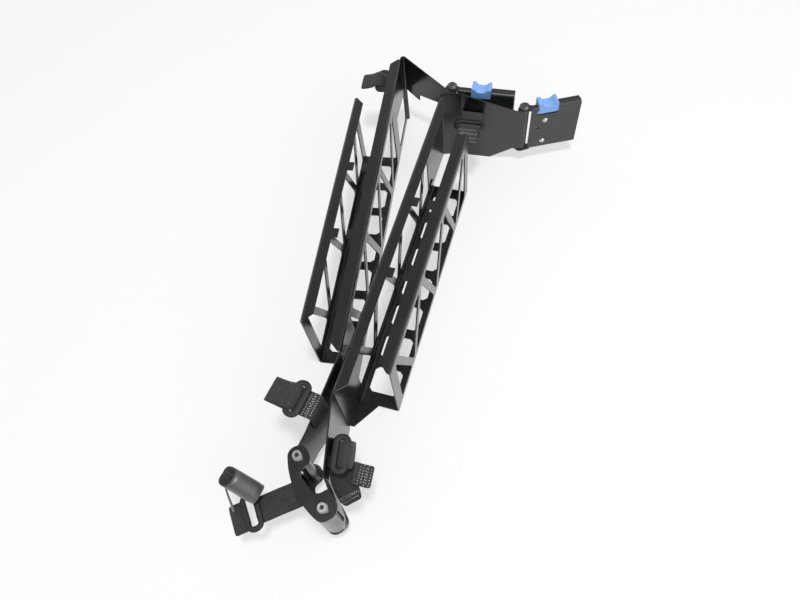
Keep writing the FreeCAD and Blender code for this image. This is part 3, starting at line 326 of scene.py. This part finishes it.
def full_point(point):
    """(x, z) and (x, y, z) points get their y and the direction across the band."""
    if len(point) == 2:
        point = (point[0], 0.0, point[1])
    return tuple(point) + (SIDEWAYS if len(point) == 3 else ())


def stations_along(total):
    """Where a band of this length has its cross-sections, closer at its rounded ends."""
    ends = [0.0, 0.12 * BAND_CORNER, 0.45 * BAND_CORNER, BAND_CORNER]
    straight = total - 2 * BAND_CORNER
    count = int(straight / STEP)
    middle = [BAND_CORNER + straight * i / count for i in range(1, count)]
    return ends + middle + [total - s for s in reversed(ends)]


def curl(column, wave, phase):
    return wave * CURL_HEIGHT * math.sin(CURL_TURN * column + 2 * math.pi * phase)


class Soft:
    """Collects the vertices and faces of one piece in its strap's own frame."""

    def __init__(self, place):
        self.place = place
        self.verts = []
        self.faces = []
        self.kinds = []
        self.smooth = []

    def add_face(self, corners, kind, smooth):
        self.faces.append(tuple(corners))
        self.kinds.append(kind)
        self.smooth.append(smooth)

    def grid(self, loops, kind, closed_along=False):
        """Skins a row of closed loops, and caps it unless the row closes on itself."""
        start = len(self.verts)
        count = len(loops[0])
        for loop in loops:
            self.verts.extend(loop)
        for i in range(len(loops) if closed_along else len(loops) - 1):
            a = start + i * count
            b = start + ((i + 1) % len(loops)) * count
            for j in range(count):
                k = (j + 1) % count
                self.add_face((a + j, a + k, b + k, b + j), kind, True)
        if not closed_along:
            last = start + (len(loops) - 1) * count
            self.add_face(range(start + count - 1, start - 1, -1), kind, False)
            self.add_face(range(last, last + count), kind, False)

    def band(self, points, width=BAND_WIDTH, kind=PILE, wave=0.22, phase=0.0, hooks=None):
        """A flat band along (x, z) or (x, y, z) or (x, y, z, across) points.

        hooks gives the stretch, from and to along the band, that carries rows of hooks."""
        path = [(Vector(p[:3]), Vector(p[3:])) for p in smoothed([full_point(p) for p in points])]
        marks = [0.0]
        for (a, _), (b, _) in zip(path, path[1:]):
            marks.append(marks[-1] + (b - a).length)
        total = marks[-1]
        loops = []
        k = 0
        row = 0
        next_row = hooks[0] if hooks else None
        for s in stations_along(total):
            while k < len(marks) - 2 and marks[k + 1] < s:
                k += 1
            (a, side_a), (b, side_b) = path[k], path[k + 1]
            t = (s - marks[k]) / max(marks[k + 1] - marks[k], 1e-9)
            centre = a.lerp(b, t)
            tangent = (b - a).normalized()
            across = side_a.lerp(side_b, t)
            across = (across - tangent * across.dot(tangent)).normalized()
            up = tangent.cross(across)
            near = min(s, total - s)
            rounding = max(BAND_CORNER - near, 0.0)
            inset = BAND_CORNER - math.sqrt(max(BAND_CORNER ** 2 - rounding ** 2, 0.0))
            half = width / 2 - inset
            ripple = math.sin(2 * math.pi * (s / WAVE_LENGTH + phase))
            lift = wave * ripple * min(1.0, near / WAVE_FADE)
            loop = []
            for face, columns in ((1, COLUMNS), (-1, reversed(COLUMNS))):
                for c in columns:
                    high = face * BAND_THICK / 2 * (EDGE_THICK if abs(c) == 1.0 else 1.0)
                    rise = high + lift + curl(c, wave, phase)
                    loop.append(centre + across * (half * c) + up * rise)
            loops.append(loop)
            while hooks and next_row <= min(s, hooks[1]):
                face = centre + up * (BAND_THICK / 2 + lift)
                self.row_of_hooks(face, (tangent, across, up), width - HOOK_PITCH, row, wave, phase)
                next_row += HOOK_PITCH
                row += 1
        self.grid(loops, kind)

    def row_of_hooks(self, face, axes, width, row, wave, phase):
        """One row of short bent hooks across a band's face."""
        tangent, across, up = axes
        count = int(width / HOOK_PITCH)
        for column in range(count):
            c = (column + 0.5 + HOOK_STAGGER * (row % 2 - 0.5)) / count * 2 - 1
            lean = HOOK_LEAN * math.sin(7.3 * row + 3.1 * column)
            base = face + across * (c * width / 2) + up * (curl(c, wave, phase) - HOOK_SINK)
            start = len(self.verts)
            for a, b in SQUARE:
                self.verts.append(base + tangent * (a * HOOK_SIZE) + across * (b * HOOK_SIZE))
            for a, b in SQUARE:
                bent = tangent * (a * HOOK_SIZE * HOOK_TAPER + lean)
                sideways = across * (b * HOOK_SIZE * HOOK_TAPER)
                self.verts.append(base + bent + sideways + up * HOOK_HEIGHT)
            self.add_face(range(start + 4, start + 8), HOOKS, False)
            for a in range(4):
                b = (a + 1) % 4
                self.add_face((start + a, start + b, start + b + 4, start + a + 4), HOOKS, False)

    def ring(self, centre, slot_width):
        """A flat ring with a rounded section round its slot."""
        x, y, z = centre
        loops = []
        outer = rounded_box(RING_WIDTH / 2, RING_LENGTH / 2, RING_CORNER)
        hole = rounded_box(slot_width / 2, SLOT_LENGTH / 2, SLOT_CORNER)
        for (ox, oy), (hx, hy) in zip(outer, hole):
            loop = []
            for i in range(RING_SIDES):
                turn = 2 * math.pi * (i + 0.5) / RING_SIDES
                c, s = math.cos(turn), math.sin(turn)
                share = 0.5 + 0.5 * math.copysign(abs(c) ** RING_SQUARENESS, c)
                rise = RING_HEIGHT / 2 * math.copysign(abs(s) ** RING_SQUARENESS, s)
                loop.append(Vector((x + hx + (ox - hx) * share, y + hy + (oy - hy) * share, z + rise)))
            loops.append(loop)
        self.grid(loops, PILE, closed_along=True)

    def piece(self, name, materials, body, replaced):
        verts = [self.place @ Vector(v) for v in self.verts]
        obj = add_piece(name, verts, self.faces, self.kinds, self.smooth, materials, body)
        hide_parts(replaced)


def strap(name, body, place, bands, ring_centre, slot_width=TIGHT_SLOT):
    """The bands of one strap as a piece, and its ring as another."""
    cloth = Soft(place)
    for points, options in bands:
        cloth.band(points, **options)
    cloth.piece(name + "_band", CLOTH, body, name + "_strap")
    loop = Soft(place)
    loop.ring(ring_centre, slot_width)
    loop.piece(name + "_ring", (ring_black,), body, name + "_buckle")


# Each strap's frame is set from the hinge that its arm or the elbow link turns on
def frame_at(hinge, degrees):
    x, y, _ = hinges[hinge]
    return Matrix.Translation((x, y, FLOOR_Z)) @ rotation(degrees) @ Matrix.Scale(MM, 4)


def within(base, x, y, degrees):
    return base @ Matrix.Translation((x, y, 0)) @ rotation(degrees)


rear_arm = frame_at("rear_elbow_hinge", 4.5)
front_arm = frame_at("front_elbow_hinge", -3.9)
elbow_link = frame_at("rear_elbow_hinge", -48.1)
elbow_place = within(rear_arm, 6.66, 35.5, 163.8)
mount_place = within(rear_arm, 17.8, 384.0, 180.0)
end_place = within(front_arm, 12.0, 394.6, -86.25)
arch_place = within(front_arm, -11.39, 43.5, 10.49)
guide_place = within(elbow_link, 14.27, -11.088, -97.3)
roll_place = within(guide_place, 39.4, -19.2, 41.0)

# Up the wall's inner face, through the ring, folded at its tip
strap("rear_elbow", "rear_arm", elbow_place, [
    ([(-1.1, 52.6), (-1.1, 70), (-1.1, 76.6), (1.0, 77.4), (9.0, 77.2), (12.6, 77.4), (14.4, 79.6),
      (16.0, 82.6), (21.0, 82.8), (24.5, 80.2), (30.0, 78.4), (37.4, 77.9), (39.2, 77.0),
      (37.4, 76.0), (28.0, 75.4), (17.6, 74.6)], {"hooks": (24.6, 33.0), "wave": 0.12}),
], (14.44, 0.0, 80.0))

strap("rear_mount", "rear_arm", mount_place, [
    ([(1.1, 46), (1.1, 60), (1.1, 66.0), (3.4, 66.8), (11.0, 66.6), (14.4, 66.8), (16.2, 69.0),
      (17.8, 72.0), (22.6, 72.0), (26.4, 69.6), (31.0, 68.0), (37.6, 67.2)],
     {"phase": 0.4, "wave": 0.12}),
], (16.2, 0.0, 69.4))

# The tail turns back under the ring
strap("front_mount", "front_arm", end_place, [
    ([(1.1, 46), (1.1, 57), (1.3, 62.2), (4.0, 62.8), (16.0, 62.6), (20.2, 62.8), (22.0, 65.2),
      (23.6, 68.2), (28.6, 68.3), (33.4, 65.8), (36.6, 61.6), (36.0, 57.6), (30.0, 56.4),
      (14.4, 56.0)], {"phase": 0.7, "hooks": (47.0, 64.0)}),
], (21.96, 0.0, 65.4))

# A high arch with two free tails
strap("front_elbow", "front_arm", arch_place, [
    ([(1.1, 0.0, 25.8), (1.1, 0.0, 50.0), (0.9, -2.0, 59.0), (2.6, -4.4, 60.9), (6.2, -4.75, 61.0),
      (8.4, -4.75, 63.0), (9.6, -4.75, 65.9), (13.6, -4.75, 66.2), (16.2, -4.4, 62.4),
      (17.2, -2.6, 53.0), (15.6, -2.0, 46.0), (10.5, -0.6, 40.5), (4.6, 0.0, 37.0)],
     {"phase": 0.2}),
    ([(18.6, -15.0, 56.0), (21.0, -15.4, 51.8), (32.2, -16.6, 50.0)],
     {"width": 16.4, "phase": 0.1, "hooks": (5.4, 15.0), "wave": 0.1}),
    ([(9.0, -8.0, 56.0, 1.0, 0.25, 0.0), (9.6, -16.0, 50.0, 1.0, 0.1, 0.0),
      (12.5, -25.0, 44.0, 0.9, -0.2, 0.0), (19.2, -33.6, 40.4, 0.79, -0.61, 0.0)],
     {"phase": 0.6, "hooks": (25.0, 29.4)}),
], (8.55, -4.75, 63.6))

# A run to the ring, a cuff round its far bar and the strip up to the roll
strap("elbow_guide", "elbow_link", guide_place, [
    ([(0.8, 35.2), (20.0, 35.0), (31.5, 34.9), (35.8, 35.1), (36.4, 37.0), (36.3, 38.6)],
     {"phase": 0.3}),
    ([(43.0, 38.8), (42.8, 37.0), (43.4, 35.0), (47.0, 34.8), (56.2, 34.0)],
     {"phase": 0.5, "width": 23.0}),
    ([(52.6, -6.0, 35.6, -0.4, 0.0, 0.9), (53.2, -16.0, 38.2, -0.3, 0.0, 0.95),
      (52.4, -27.0, 44.0, -0.2, 0.2, 0.95)], {"width": 7.0, "kind": SATIN, "wave": 0.05}),
], (39.6, 0.0, 38.0), slot_width=OPEN_SLOT)

# The roll: satin outside and pile inside, tilted, with a sloping mouth
ROLL_TILT, ROLL_HEIGHT, ROLL_LENGTH = -34.0, 50.0, 27.0
ROLL_SHIFT, MOUTH_SLOPE = 2.0, 0.45
lift = Matrix.Translation((0, 0, ROLL_HEIGHT))
tilted = lift @ rotation(ROLL_TILT, "X") @ lift.inverted()
roll = Soft(roll_place @ Matrix.Translation((0, ROLL_SHIFT, 0)) @ tilted)
roll.band([(2.0, 44.4), (-2.6, 42.5), (-6.4, 43.7), (-7.6, 49.5), (-6.6, 55.4), (0.0, 57.0),
           (6.6, 55.4), (7.6, 49.5), (6.2, 44.2), (1.8, 42.4), (-2.8, 43.9)],
          width=ROLL_LENGTH, wave=0.1)
outside, around = len(COLUMNS), 2 * len(COLUMNS)
roll.kinds = [SATIN if i % around < outside else PILE for i in range(len(roll.kinds))]
for corner in roll.verts:
    if corner.y < 0:
        corner.y -= (corner.z - ROLL_HEIGHT) * MOUTH_SLOPE * corner.y / (ROLL_LENGTH / 2)
roll.piece("elbow_guide_wrap", CLOTH, "elbow_link", "elbow_guide_roll")


# Screw heads on the elbow pins
HEAD_RADIUS, HEAD_SIDES = 3.5, 48
# Shares of the radius and millimetres above the pin, from the collar's foot to the socket's floor
HEAD_PROFILE = [(1.0, -0.4), (1.0, 0.6), (0.9, 1.0), (0.74, 1.0), (0.66, 0.8), (0.52, 0.8), (0.5, 0.12)]
SOCKET_SHARE = 0.6
SIXTH = math.pi / 3


def screw_head(name, node, body):
    """A turned collar with a six-sided socket on top of an elbow pin."""
    low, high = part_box(node)
    x, y, top = (low[0] + high[0]) / 2, (low[1] + high[1]) / 2, high[2]
    verts = []
    for share, rise in HEAD_PROFILE:
        for i in range(HEAD_SIDES):
            turn = 2 * math.pi * i / HEAD_SIDES
            reach = HEAD_RADIUS * share * MM
            if share < SOCKET_SHARE:
                reach *= math.cos(SIXTH / 2) / math.cos(turn % SIXTH - SIXTH / 2)
            verts.append((x + reach * math.cos(turn), y + reach * math.sin(turn), top + rise * MM))
    faces = []
    for start in range(0, len(verts) - HEAD_SIDES, HEAD_SIDES):
        above = start + HEAD_SIDES
        for i in range(HEAD_SIDES):
            j = (i + 1) % HEAD_SIDES
            faces.append((start + i, start + j, above + j, above + i))
    faces.append(tuple(range(len(verts) - HEAD_SIDES, len(verts))))
    # The last face, the socket's floor, takes the near-black steel: painted shade for the recess
    kinds = [0] * (len(faces) - 1) + [1]
    smooth = [False] * len(faces)
    add_piece(name, verts, faces, kinds, smooth, (pin_steel, socket_painted_shade), body)


screw_head("rear_elbow_socket", "rear_elbow_pin", "elbow_link")
screw_head("front_elbow_socket", "front_elbow_pin", "elbow_link")


# Floor, world and lamps
WHITE = (1.0, 1.0, 1.0, 1.0)
FLOOR_GREY = (0.82, 0.82, 0.82, 1.0)
FLOOR_HALF = 4.0
FLOOR_WHITE = 0.55                     # share of white that the camera and gloss see in the floor
WORLD_LIGHT = 0.55                     # strength of the world as a light
GLOSS_BELOW, GLOSS_ABOVE = 1.0, 0.25   # strength of the world as gloss sees it


def seen_by(tree, *rays):
    """1 for a ray of these kinds, else 0."""
    path = tree.nodes.new("ShaderNodeLightPath")
    seen = path.outputs[rays[0]]
    for ray in rays[1:]:
        seen = calculated(tree, "MAXIMUM", seen, path.outputs[ray])
    return seen


corners = [(sx * FLOOR_HALF, sy * FLOOR_HALF, FLOOR_Z) for sx, sy in SQUARE]
floor_mesh = bpy.data.meshes.new("floor")
floor_mesh.from_pydata(corners, [], [(0, 1, 2, 3)])
floor = add_object("floor", floor_mesh)
material = bpy.data.materials.new("floor")
material.use_nodes = True
tree = material.node_tree
tree.nodes.clear()
matte = add_node(tree, "BsdfDiffuse", {"Color": FLOOR_GREY})
white = add_node(tree, "Emission", {"Color": WHITE, "Strength": 1.0})
seen = seen_by(tree, "Is Camera Ray", "Is Glossy Ray", "Is Transmission Ray")
share = calculated(tree, "MULTIPLY", seen, FLOOR_WHITE)
blend = add_node(tree, "MixShader", {"Fac": share, 1: matte.outputs[0], 2: white.outputs[0]})
add_node(tree, "OutputMaterial", {"Surface": blend.outputs[0]})
floor_mesh.materials.append(material)

world = bpy.data.worlds.new("studio")
bpy.context.scene.world = world
world.use_nodes = True
tree = world.node_tree
seen = seen_by(tree, "Is Camera Ray", "Is Transmission Ray")
direction = tree.nodes.new("ShaderNodeTexCoord").outputs["Generated"]
height = add_node(tree, "SeparateXYZ", {"Vector": direction}).outputs["Z"]
strength = add_node(tree, "Mix", {
    0: seen_by(tree, "Is Glossy Ray"),
    2: span(tree, seen, WORLD_LIGHT, 1.0),
    3: span(tree, height, GLOSS_BELOW, GLOSS_ABOVE),
})
feed(tree, tree.nodes["Background"], {"Color": WHITE, "Strength": strength.outputs[0]})


def area_light(name, location, target, size, energy):
    data = bpy.data.lights.new(name, "AREA")
    data.shape = "RECTANGLE"
    data.size, data.size_y = size
    data.energy = energy
    light = add_object(name, data)
    light.location = location
    aim = Vector(target) - Vector(location)
    light.rotation_euler = aim.to_track_quat("-Z", "Y").to_euler()


area_light("key", (0.2, -0.4, 2.0), (0, -0.2, 0), (0.3, 0.3), 25.0)
area_light("fill", (1.4, -0.9, 1.1), (0, -0.2, 0), (1.4, 1.0), 8.0)

bpy.context.scene.view_settings.view_transform = "Standard"
